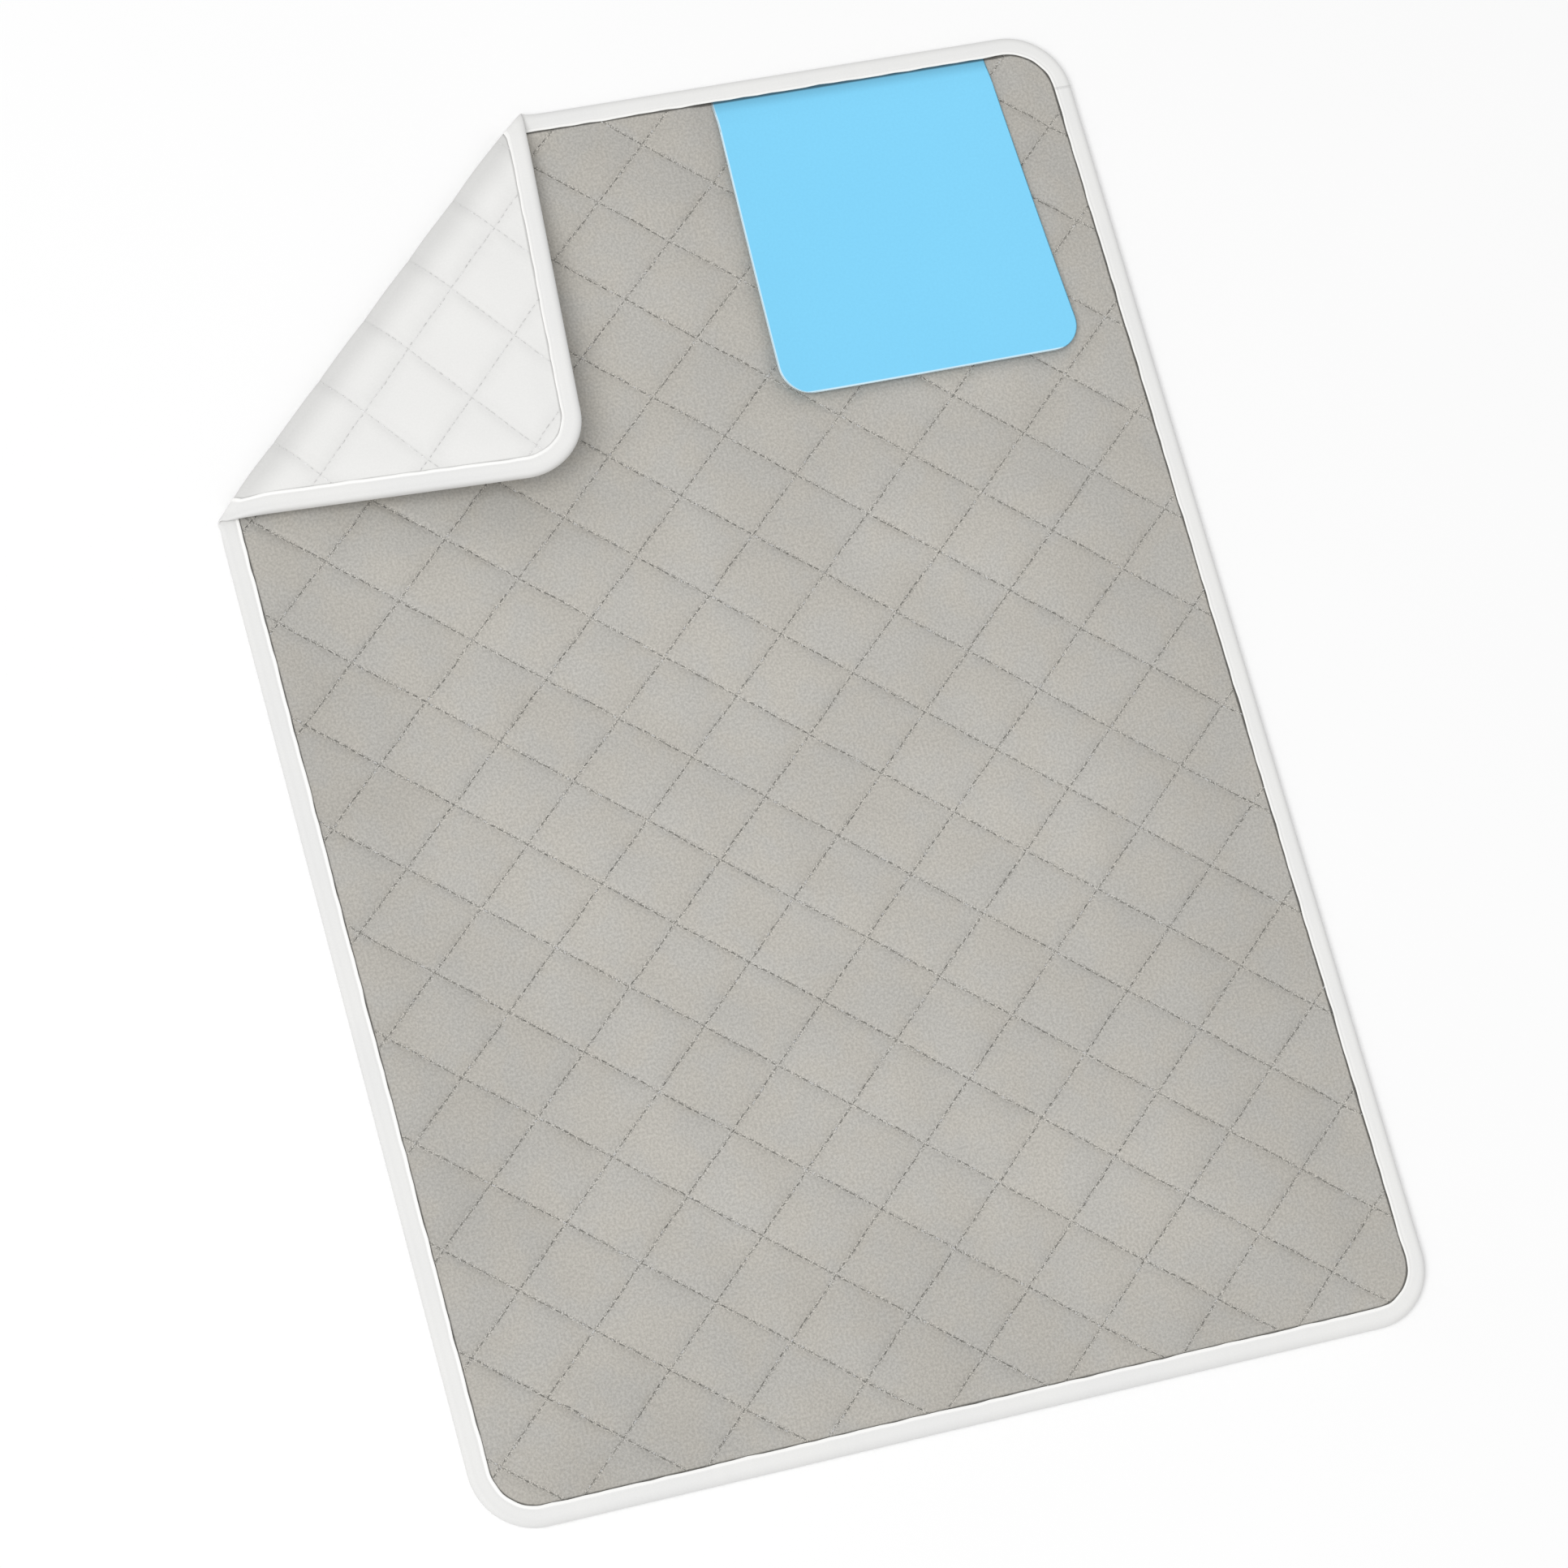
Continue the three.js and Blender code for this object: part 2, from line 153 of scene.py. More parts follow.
# Seams: each family by its name, the step along a seam, the step to the next seam and a seed
SEAM_FAMILIES = (("rising", RISING, FALLING, 11), ("falling", FALLING, RISING, 12))
SEAM_ROWS = 20
SEAM_REACH = 1.0
SEAM_SWAY = 0.22 * MM
SEAM_SWAY_WAVES = (15 * MM, 60 * MM)
BACK_SHIFT = 0.5
BACK_SEED_STEP = 10
BINDING_SEAM_INSET = 5.2 * MM
BINDING_SEAM_SEED = 31

# Bend of the folded corner; the cuts for the squeeze are counted in widths of the bend
BEND_WIDTH = 5.7 * MM
BEND_CUTS = 12
BEND_ZONE = 20 * MM
SQUEEZE = 0.645
SQUEEZE_AT_EDGE = 0.86
SQUEEZE_EDGE_REACH = 14 * MM
SQUEEZE_BEFORE = 9 * MM
SQUEEZE_AFTER = 20 * MM
SQUEEZE_CUTS = (-1.4, -1.0, -0.7, 0.7, 1.0, 1.4, 1.9, 2.5)

# Label
LABEL_CORNER_RADIUS = 16.5 * MM
LABEL_THICKNESS = 0.7 * MM
LABEL_BEVEL = 0.22 * MM
LABEL_BEVEL_STEPS = 2
LABEL_SHARP_ANGLE = math.radians(60)
LABEL_ROWS = 60
LABEL_COLUMNS = 48
LABEL_TONGUE_Z = 5.15 * MM
LABEL_SLOPE = 14 * MM
LABEL_CURL = 3.2 * MM
LABEL_SIDE_CURL = 2.0 * MM
LABEL_MARGIN = 5 * MM
LABEL_PRESS = 0.43
LABEL_LIFT = 0.3 * MM

# Lengths of the patterns, painted shade and painted highlights in the materials; a stitch's painted hole
# shade is at shares of its length from its middle
COVER_GATHER_REACH = 14 * MM
COVER_SEAM_REACH = 1.6 * MM
COVER_VALLEY_REACH = 11 * MM
COVER_EDGE_SHADE_REACH = 120 * MM
FLECK_START = 0.3 * MM
FLECK_END = 1.6 * MM
BACKING_GATHER_REACH = 12 * MM
BACKING_SEAM_REACH = 1.0 * MM
BACKING_VALLEY_REACH = 8 * MM
CREASE_REACH = 17 * MM
SEAM_GATHER_LENGTH = 6 * MM
UNDER_TAPE_START = LIP_WIDTH + 0.1 * MM
UNDER_TAPE_END = LIP_WIDTH + 1.0 * MM
TAPE_GATHER_LENGTH = 9 * MM
RIDGE_HIGHLIGHT_START = GROOVE_INSET - 0.6 * MM
OUTER_SHADE_START = LIP_WIDTH - TAPE_ROUND - 1.5 * MM
OUTER_SHADE_END = LIP_WIDTH - 0.5 * MM
THREAD_PLY = 0.6 * MM
THREAD_WEAR = 3 * MM
THREAD_GLINT = 7 * MM
STITCH_HOLE_START = 0.33
STITCH_HOLE_END = 0.46
LABEL_HIGHLIGHT_START = 0.4 * MM
LABEL_HIGHLIGHT_END = 1.3 * MM
LABEL_SHADE_START = -1 * MM
LABEL_SHADE_END = 8 * MM
LABEL_GAP_START = 0.1 * MM
LABEL_GAP_END = 1.1 * MM

# Stage and light
FLOOR_HALF_SIZE = 8.0
LAMP_PLACE = Vector((-4.8, -1.75, 8.6))
LAMP_SIZE = 5.8
LAMP_POWER = 512
WORLD_STRENGTH = 0.62

# Camera at the photographed angle
CAMERA_AZIMUTH = math.radians(-53.612)
CAMERA_ELEVATION = math.radians(67.31)
CAMERA_ROLL = math.radians(40.046)
CAMERA_DISTANCE = 3.04362
CAMERA_AIM = Vector((-0.0039, -0.01772, 0))
CAMERA_LENS = 140.937
CAMERA_SENSOR = 36


# Shapes in the flat, before the corner is folded

def edge_distance(x, y):
    """Distance from flat points to the mat's outer edge, positive inside."""
    beside_x = np.abs(x) - (HALF_WIDTH - CORNER_RADIUS)
    beside_y = np.abs(y) - (HALF_LENGTH - CORNER_RADIUS)
    round_part = np.hypot(np.maximum(beside_x, 0), np.maximum(beside_y, 0))
    straight_part = np.minimum(np.maximum(beside_x, beside_y), 0)
    return CORNER_RADIUS - round_part - straight_part


def smooth_step(value):
    """A value kept between 0 and 1, with soft ends."""
    share = np.clip(value, 0, 1)
    return share * share * (3 - 2 * share)


def soft_waves(x, y, seed, wavelengths):
    """Smooth random hills of about unit height, with wavelengths between the two given ones."""
    shortest, longest = wavelengths
    random = np.random.default_rng(seed)
    total = np.zeros_like(x)
    for _ in range(WAVE_COUNT):
        length = shortest * (longest / shortest) ** random.random()
        heading = 2 * math.pi * random.random()
        phase = 2 * math.pi * random.random()
        along = (x * math.cos(heading) + y * math.sin(heading)) / length
        total += np.sin(2 * math.pi * along + phase)
    return total * math.sqrt(2 / WAVE_COUNT)


def quilt_place(x, y):
    """Place counted in diamonds along the rising and the falling seams; whole numbers are seams."""
    return np.tensordot(LATTICE, np.stack((x - QUILT_ORIGIN[0], y - QUILT_ORIGIN[1])), 1)


def puff(x, y, seed):
    """Swelling of the quilted cloth: 0 on the seams and under the edge tape, about 1 inside a diamond."""
    along_rising, along_falling = quilt_place(x, y)
    swell = np.abs(np.sin(np.pi * along_rising) * np.sin(np.pi * along_falling)) ** PUFF_SHAPE
    swell = swell * (1 - LABEL_PRESS * (1 - clear_of_label(x, y)))
    variety = 1 + PUFF_VARIETY * soft_waves(x, y, seed, PUFF_WAVES)
    fade = smooth_step((edge_distance(x, y) - PUFF_FADE_START) / (PUFF_FADE_END - PUFF_FADE_START))
    return swell * variety * fade


def beside_tape(x, y):
    """1 under the edge tape, fading to 0 further in."""
    return 1 - smooth_step((edge_distance(x, y) - LIP_WIDTH) / EDGE_RISE_REACH)


def clear_of_label(x, y):
    """0 where the label lies, 1 away from it."""
    beyond = np.abs(x - LABEL_MIDDLE_X) - LABEL_BOTTOM_WIDTH / 2
    return smooth_step(np.maximum(beyond, label_low.y - y) / LABEL_MARGIN)


def cover_top(x, y):
    """Height of the face: puffed between the seams, gently rolling, and raised where it meets the tape."""
    roll = COVER_ROLL * soft_waves(x, y, COVER_ROLL_SEED, COVER_ROLL_WAVES)
    rise = COVER_EDGE_RISE * beside_tape(x, y) * clear_of_label(x, y)
    return COVER_SEAM_Z + COVER_CROWN * puff(x, y, COVER_PUFF_SEED) + roll + rise


def batting_top(x, y):
    """Height of the padding, which follows the face."""
    return cover_top(x, y) - COVER_SEAM_Z + BATTING_SEAM_Z


def backing_bottom(x, y):
    """Height of the back, which puffs downwards."""
    drop = BACKING_EDGE_DROP * beside_tape(x, y)
    return BACKING_SEAM_Z - BACKING_CROWN * puff(x, y, BACKING_PUFF_SEED) - drop


def outline(inset, corner_facets):
    """Corner points of the rounded outline, counterclockwise, moved in by inset."""
    points = []
    for quarter in range(4):
        side_x = 1 if quarter in (0, 3) else -1
        side_y = 1 if quarter in (0, 1) else -1
        centre = Vector((side_x * (HALF_WIDTH - CORNER_RADIUS), side_y * (HALF_LENGTH - CORNER_RADIUS), 0))
        for facet in range(corner_facets + 1):
            turn = math.pi / 2 * (quarter + facet / corner_facets)
            out = Vector((math.cos(turn), math.sin(turn), 0))
            points.append(centre + out * (CORNER_RADIUS - inset))
    return points


def quilt_grid(divisions):
    """Mesh of flat cells that follow the seams, over the whole outline and a little past it."""
    steps = np.arange(divisions) / divisions
    steps = steps - SEAM_CROWDING * np.sin(2 * np.pi * steps) / (2 * np.pi)
    box_x = np.array((-1, -1, 1, 1)) * HALF_WIDTH
    box_y = np.array((-1, 1, -1, 1)) * HALF_LENGTH
    reach = quilt_place(box_x, box_y)
    stations = []
    for family in reach:
        first, last = math.floor(family.min()), math.ceil(family.max())
        stations.append(np.append((np.arange(first, last)[:, None] + steps).ravel(), last))
    along_rising, along_falling = np.meshgrid(*stations, indexing="ij")
    x = QUILT_ORIGIN[0] + along_rising * RISING[0] + along_falling * FALLING[0]
    y = QUILT_ORIGIN[1] + along_rising * RISING[1] + along_falling * FALLING[1]
    inside = edge_distance(x, y) > CLOTH_INSET
    wanted = inside[:-1, :-1] | inside[1:, :-1] | inside[:-1, 1:] | inside[1:, 1:]
    number = np.arange(x.size).reshape(x.shape)
    corners = (number[:-1, :-1], number[:-1, 1:], number[1:, 1:], number[1:, :-1])
    faces = np.stack([corner[wanted] for corner in corners], axis=1)
    used, faces = np.unique(faces, return_inverse=True)
    places = np.stack((x.ravel()[used], y.ravel()[used], np.zeros(len(used))), axis=1)
    mesh = bpy.data.meshes.new("quilt_grid")
    mesh.from_pydata(places.tolist(), [], faces.reshape(-1, 4).tolist())
    return mesh


def cut_along(work, place, normal, drop_beyond=False):
    """Cuts all faces along a plane and, where asked, drops what lies beyond it."""
    everything = work.verts[:] + work.edges[:] + work.faces[:]
    plane = {"plane_co": place, "plane_no": normal, "clear_outer": drop_beyond}
    bmesh.ops.bisect_plane(work, geom=everything, dist=WELD, **plane)


def cut_sheet(divisions):
    """Flat points and faces of a cloth cut to the outline, with extra cuts along the bend."""
    grid = quilt_grid(divisions)
    work = bmesh.new()
    work.from_mesh(grid)
    bpy.data.meshes.remove(grid)
    points = outline(CLOTH_INSET, OUTLINE_CORNER_FACETS)
    for start, end in zip(points, points[1:] + points[:1]):
        cut_along(work, start, (end - start).cross(UP).normalized(), drop_beyond=True)
    for offset in np.concatenate((np.linspace(-0.5, 0.5, BEND_CUTS + 1), SQUEEZE_CUTS)):
        cut_along(work, FOLD_POINT + FOLD_OUT * (BEND_WIDTH * offset), FOLD_OUT)
    work.verts.index_update()
    places = np.array([vertex.co[:2] for vertex in work.verts])
    faces = [[vertex.index for vertex in face.verts] for face in work.faces]
    work.free()
    return places, faces


# Mesh and piece helpers

def shade_smooth(mesh):
    """Lets light pass smoothly over the edges between all faces."""
    mesh.polygons.foreach_set("use_smooth", np.ones(len(mesh.polygons), bool))


def new_piece(name, places, faces, material):
    """A named object with one mesh and one material."""
    mesh = bpy.data.meshes.new(name)
    mesh.from_pydata(np.asarray(places).tolist(), [], faces)
    shade_smooth(mesh)
    mesh.materials.append(material)
    piece = bpy.data.objects.new(name, mesh)
    bpy.context.scene.collection.objects.link(piece)
    return piece


def set_flat_place(piece, values):
    """Keeps where each point lies on the flat cloth, so that patterns stay put when the cloth bends."""
    attribute = piece.data.attributes.new("flat_place", "FLOAT_VECTOR", "POINT")
    attribute.data.foreach_set("vector", np.asarray(values, np.float32).ravel())


def piece_places(piece):
    """Places of all points of a piece."""
    places = np.empty(len(piece.data.vertices) * 3, np.float32)
    piece.data.vertices.foreach_get("co", places)
    return places.reshape(-1, 3).astype(float)


def set_piece_places(piece, places):
    """Moves all points of a piece to the given places."""
    piece.data.vertices.foreach_set("co", places.astype(np.float32).ravel())
    piece.data.update()


def squeeze(past_fold, edge):
    """Share of their height that the layers lose where the fold presses them, most at the outer edge."""
    reach = np.where(past_fold < 0, SQUEEZE_BEFORE, SQUEEZE_AFTER)
    share = np.clip(1 - np.abs(past_fold) / reach, 0, 1)
    near_edge = np.clip(1 - edge / SQUEEZE_EDGE_REACH, 0, 1)
    return (SQUEEZE + (SQUEEZE_AT_EDGE - SQUEEZE) * near_edge) * share ** 2


def folded(places):
    """Flat points pressed together at the fold and turned about it, as the folded corner lies."""
    arm = places - FOLD_POINT
    past_fold = arm @ FOLD_OUT
    arm[:, 2] *= 1 - squeeze(past_fold, edge_distance(places[:, 0], places[:, 1]))
    turn = FOLD_TURN * smooth_step(past_fold / BEND_WIDTH + 0.5)[:, None]
    along = np.outer(arm @ FOLD_AXIS, FOLD_AXIS)
    across = arm - along
    return FOLD_POINT + along + across * np.cos(turn) + np.cross(FOLD_AXIS, across) * np.sin(turn)


def fold_piece(piece):
    """Makes a flat piece follow the fold, then lays its corner back as it rests."""
    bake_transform(piece)
    set_piece_places(piece, folded(piece_places(piece)))


def boundary_edges(faces):
    """Directed edges that only one face uses, in order."""
    directed = {edge for face in faces for edge in zip(face, face[1:] + face[:1])}
    return sorted((start, end) for start, end in directed if (end, start) not in directed)


def closed_faces(faces, count):
    """Faces of a sheet of count points, of the same sheet below it and of the rim between them."""
    under = [[corner + count for corner in reversed(face)] for face in faces]
    rim = [[end, start, start + count, end + count] for start, end in boundary_edges(faces)]
    return faces + under + rim


def cloth_piece(name, sheet, top, bottom, material):
    """A closed thin layer between two heights over a flat sheet."""
    flat, faces = sheet
    places = np.concatenate((np.column_stack((flat, top)), np.column_stack((flat, bottom))))
    piece = new_piece(name, places, closed_faces(faces, len(flat)), material)
    edge = edge_distance(flat[:, 0], flat[:, 1])
    set_flat_place(piece, np.tile(np.column_stack((flat, edge)), (2, 1)))
    return piece


# Material helpers

def new_material(name):
    """A material with its node tree and its surface shader."""
    material = bpy.data.materials.new(name)
    material.use_nodes = True
    tree = material.node_tree
    return material, tree, tree.nodes["Principled BSDF"]


def add(tree, kind, inputs=(), **settings):
    """A shader node with its settings and inputs; an input is a value or another node's output."""
    made = tree.nodes.new("ShaderNode" + kind)
    for key, value in settings.items():
        setattr(made, key, value)
    for key, value in dict(inputs).items():
        if isinstance(value, bpy.types.NodeSocket):
            tree.links.new(value, made.inputs[key])
        else:
            made.inputs[key].default_value = value
    return made


def calculate(tree, operation, first, second=0.0):
    """The result of a sum on one or two values or outputs."""
    return add(tree, "Math", {0: first, 1: second}, operation=operation).outputs[0]


def product(tree, first, *others):
    """Values or outputs multiplied together."""
    total = first
    for other in others:
        total = calculate(tree, "MULTIPLY", total, other)
    return total


def noise(tree, place, scale, detail=2.0, roughness=0.5):
    """Random patches over the flat cloth, about scale of them to the metre."""
    inputs = {"Vector": place, "Scale": scale, "Detail": detail, "Roughness": roughness}
    return add(tree, "TexNoise", inputs, noise_dimensions="2D").outputs["Fac"]


def noise_along(tree, run, scale, detail=1.0):
    """Random changes along a run."""
    inputs = {"W": run, "Scale": scale, "Detail": detail}
    return add(tree, "TexNoise", inputs, noise_dimensions="1D").outputs["Fac"]


def spread(tree, value, low, high, to_low=0.0, to_high=1.0):
    """A value carried smoothly from one range to another."""
    inputs = {"Value": value, "From Min": low, "From Max": high, "To Min": to_low, "To Max": to_high}
    return add(tree, "MapRange", inputs, interpolation_type="SMOOTHSTEP").outputs["Result"]


def fading(tree, value, low, high):
    """1 where a value is low, falling smoothly to 0 where it is high."""
    return spread(tree, value, low, high, to_low=1.0, to_high=0.0)


def colour_mix(tree, share, first, second):
    """Two colours mixed by a share from 0 to 1."""
    inputs = {0: share, 6: first, 7: second}
    return add(tree, "Mix", inputs, data_type="RGBA").outputs[2]


def multiplied(tree, first, second):
    """Two colours multiplied."""
    inputs = {0: 1.0, 6: first, 7: second}
    return add(tree, "Mix", inputs, data_type="RGBA", blend_type="MULTIPLY").outputs[2]


def dimmed(tree, tint, shade):
    """A colour scaled by a shade that is a value or an output."""
    return add(tree, "VectorMath", {0: tint, "Scale": shade}, operation="SCALE").outputs[0]


def grey(value):
    """A colour of equal parts."""
    return (value, value, value, 1.0)


def colour(red, green, blue):
    """An opaque colour."""
    return (red, green, blue, 1.0)


def flat_place(tree):
    """Where the shaded point lies on the flat cloth, with a third value that each piece sets for itself."""
    return add(tree, "Attribute", attribute_name="flat_place").outputs["Vector"]


def part_of(tree, place, axis):
    """One part of a place."""
    return add(tree, "SeparateXYZ", {"Vector": place}).outputs[axis]


def along_direction(tree, place, direction):
    """How far a place lies along a direction."""
    inputs = {0: place, 1: tuple(direction)}
    return add(tree, "VectorMath", inputs, operation="DOT_PRODUCT").outputs["Value"]


def seam_place(tree, place):
    """Outputs with the place along both seam families, counted in diamonds."""
    found = []
    for row in LATTICE:
        along = along_direction(tree, place, (row[0], row[1], 0))
        found.append(calculate(tree, "SUBTRACT", along, float(row @ QUILT_ORIGIN)))
    return found


def seam_distance(tree, along):
    """Distance in metres to the nearest seam of one family."""
    return calculate(tree, "MULTIPLY", calculate(tree, "PINGPONG", along, 0.5), SEAM_SPACING)


def puckers(tree, place, reach):
    """Small gathers that run out from the seams, and the distance to the nearest seam."""
    along_rising, along_falling = seam_place(tree, place)
    near_falling = seam_distance(tree, along_rising)
    near_rising = seam_distance(tree, along_falling)
    total = 0.0
    for near, run in ((near_falling, along_falling), (near_rising, along_rising)):
        gather = noise_along(tree, run, DIAMOND_SIDE / SEAM_GATHER_LENGTH)
        share = fading(tree, near, 0.0, reach)
        total = calculate(tree, "ADD", calculate(tree, "MULTIPLY", gather, share), total)
    return total, calculate(tree, "MINIMUM", near_rising, near_falling)


def roughened(tree, grain, weight, gathers):
    """Height of a cloth's surface: its gathers with a weighted grain on them."""
    return calculate(tree, "ADD", calculate(tree, "MULTIPLY", grain, weight), gathers)


def set_bump(tree, shader, height, depth):
    """Makes the surface look raised by a height times the depth."""
    bump = add(tree, "Bump", {"Distance": depth, "Height": height})
    tree.links.new(bump.outputs["Normal"], shader.inputs["Normal"])


def set_surface(tree, shader, tint, **constants):
    """Links the colour and sets constant inputs, named as on the shader but with underscores for spaces."""
    tree.links.new(tint, shader.inputs["Base Color"])
    for name, value in constants.items():
        shader.inputs[name.replace("_", " ")].default_value = value


# Colours
COVER_WARM = colour(0.494, 0.473, 0.431)
COVER_BLUISH = colour(0.482, 0.469, 0.438)
BACKING_CLEAN = colour(0.824, 0.820, 0.805)
BACKING_DULL = colour(0.806, 0.804, 0.792)
TAPE_CLEAN = colour(0.822, 0.819, 0.806)
TAPE_SOILED = colour(0.803, 0.802, 0.794)
# Painted highlight of the tape's rolled ridge
TAPE_RIDGE_HIGHLIGHT = colour(0.930, 0.927, 0.911)
GREY_THREAD_DARK = colour(0.142, 0.138, 0.125)
GREY_THREAD_WORN = colour(0.348, 0.338, 0.307)
# Painted shade of the needle holes and painted glints of the grey thread
GREY_THREAD_HOLE_SHADE = grey(0.05)
GREY_THREAD_GLINT = grey(0.62)
WHITE_THREAD_DULL = colour(0.63, 0.63, 0.62)
WHITE_THREAD_CLEAN = colour(0.78, 0.78, 0.77)
# Painted shade of the needle holes and painted glints of the white thread
WHITE_THREAD_HOLE_SHADE = grey(0.42)
WHITE_THREAD_GLINT = grey(0.88)
BATTING_PALE = colour(0.90, 0.87, 0.78)
BATTING_DARK = colour(0.80, 0.77, 0.69)
FILM_BRIGHT = colour(0.70, 0.72, 0.75)
FILM_DULL = colour(0.60, 0.62, 0.65)
LABEL_DEEP_BLUE = colour(0.212, 0.650, 0.945)
LABEL_LIGHT_BLUE = colour(0.223, 0.670, 0.960)
# Painted highlight along the label's edges
LABEL_RIM_HIGHLIGHT = colour(0.72, 0.91, 1.0)
FLOOR_DARK = grey(0.955)
FLOOR_PALE = grey(0.965)


# Materials

def cover_material():
    """Warm grey felted cloth with bluish patches, fine grain and seam gathers; painted shade at the seams,
    under the tape and towards the edge, and painted light and dark flecks by the seams.
    """
    material, tree, shader = new_material("cover_cloth")
    place = flat_place(tree)
    edge = part_of(tree, place, "Z")
    gathers, seam = puckers(tree, place, COVER_GATHER_REACH)
    patches = spread(tree, noise(tree, place, scale=38, detail=3.0, roughness=0.55), 0.36, 0.66)
    tint = colour_mix(tree, patches, COVER_WARM, COVER_BLUISH)
    grain = noise(tree, place, scale=750, detail=3.0, roughness=0.65)
    fibres = colour_mix(tree, spread(tree, grain, 0.25, 0.75), grey(0.86), grey(1.12))
    grained = multiplied(tree, tint, fibres)
    # Painted shade: darker at the seams, in the valleys between the puffs, and a dark line where the cloth
    # goes under the tape
    seam_shade = spread(tree, seam, 0.0, COVER_SEAM_REACH, to_low=0.935)
    valley_shade = spread(tree, seam, 0.0, COVER_VALLEY_REACH, to_low=0.985)
    edge_shade = spread(tree, edge, UNDER_TAPE_START, UNDER_TAPE_END, to_low=0.30)
    wear = spread(tree, noise(tree, place, scale=9), 0.3, 0.7, to_low=0.97, to_high=1.03)
    # Painted shade: the cloth darker towards the mat's edge
    painted_edge_shade = spread(tree, edge, LIP_WIDTH, COVER_EDGE_SHADE_REACH, to_low=0.93)
    painted_shade_and_wear = product(tree, seam_shade, valley_shade, edge_shade, wear, painted_edge_shade)
    # Painted highlights and painted shade: light and dark flecks beside the seams
    fleck = spread(tree, noise(tree, place, scale=1500, detail=1.0), 0.36, 0.64, to_low=-0.28, to_high=0.30)
    seam_glints_and_shade = calculate(tree, "MULTIPLY", fleck, fading(tree, seam, FLECK_START, FLECK_END))
    shade = product(tree, painted_shade_and_wear, calculate(tree, "ADD", seam_glints_and_shade, 1.0))
    tint = dimmed(tree, grained, shade)
    set_surface(tree, shader, tint, Roughness=0.92, Specular_IOR_Level=0.25, Sheen_Weight=0.08)
    set_bump(tree, shader, roughened(tree, grain, 0.16, gathers), depth=0.45 * MM)
    return material


def backing_material():
    """Smooth white cloth, faintly gathered at the seams, with painted shade along the seams, under the tape
    and along the fold.
    """
    material, tree, shader = new_material("backing_cloth")
    place = flat_place(tree)
    edge = part_of(tree, place, "Z")
    gathers, seam = puckers(tree, place, BACKING_GATHER_REACH)
    patches = noise(tree, place, scale=22)
    tint = colour_mix(tree, patches, BACKING_CLEAN, BACKING_DULL)
    grain = noise(tree, place, scale=900)
    fibres = colour_mix(tree, grain, grey(0.97), grey(1.03))
    grained = multiplied(tree, tint, fibres)
    # Painted shade: darker at the seams, in the valleys and where the cloth goes under the tape
    seam_shade = spread(tree, seam, 0.0, BACKING_SEAM_REACH, to_low=0.955)
    valley_shade = spread(tree, seam, 0.0, BACKING_VALLEY_REACH, to_low=0.962)
    edge_shade = spread(tree, edge, UNDER_TAPE_START, UNDER_TAPE_END, to_low=0.72)
    # Painted shade: darker along the crease of the fold
    past_fold = along_direction(tree, place, FOLD_OUT)
    from_crease = calculate(tree, "SUBTRACT", past_fold, float(FOLD_POINT @ FOLD_OUT))
    crease_distance = calculate(tree, "ABSOLUTE", from_crease)
    crease_shade = spread(tree, crease_distance, 0.0, CREASE_REACH, to_low=0.83)
    shade = product(tree, seam_shade, valley_shade, edge_shade, crease_shade)
    tint = dimmed(tree, grained, shade)
    set_surface(tree, shader, tint, Roughness=0.8, Specular_IOR_Level=0.3, Sheen_Weight=0.1)
    set_bump(tree, shader, roughened(tree, grain, 0.08, gathers), depth=0.22 * MM)
    return material


def tape_material():
    """White woven tape, slightly gathered, with a painted highlight at its rolled inner edge and painted
    shade towards its rounded outer edge.
    """
    material, tree, shader = new_material("binding_tape")
    place = flat_place(tree)
    run = part_of(tree, place, "X")
    from_end = part_of(tree, place, "Z")
    weave = noise(tree, place, scale=1100)
    soil = spread(tree, noise(tree, place, scale=18, detail=3.0), 0.3, 0.7)
    tint = colour_mix(tree, soil, TAPE_CLEAN, TAPE_SOILED)
    # Painted highlight along the rolled ridge at the tape's inner edge
    tint = colour_mix(tree, fading(tree, from_end, RIDGE_HIGHLIGHT_START, GROOVE_INSET), tint, TAPE_RIDGE_HIGHLIGHT)
    fibres = colour_mix(tree, weave, grey(0.975), grey(1.025))
    grained = multiplied(tree, tint, fibres)
    # Painted shade towards the tape's rounded outer edge
    painted_outer_shade = spread(tree, from_end, OUTER_SHADE_START, OUTER_SHADE_END, to_low=1.0, to_high=0.92)
    tint = dimmed(tree, grained, painted_outer_shade)
    set_surface(tree, shader, tint, Roughness=0.62, Specular_IOR_Level=0.4, Sheen_Weight=0.1)
    gathers = noise_along(tree, run, 1 / TAPE_GATHER_LENGTH, detail=2.0)
    set_bump(tree, shader, roughened(tree, weave, 0.06, gathers), depth=0.14 * MM)
    return material


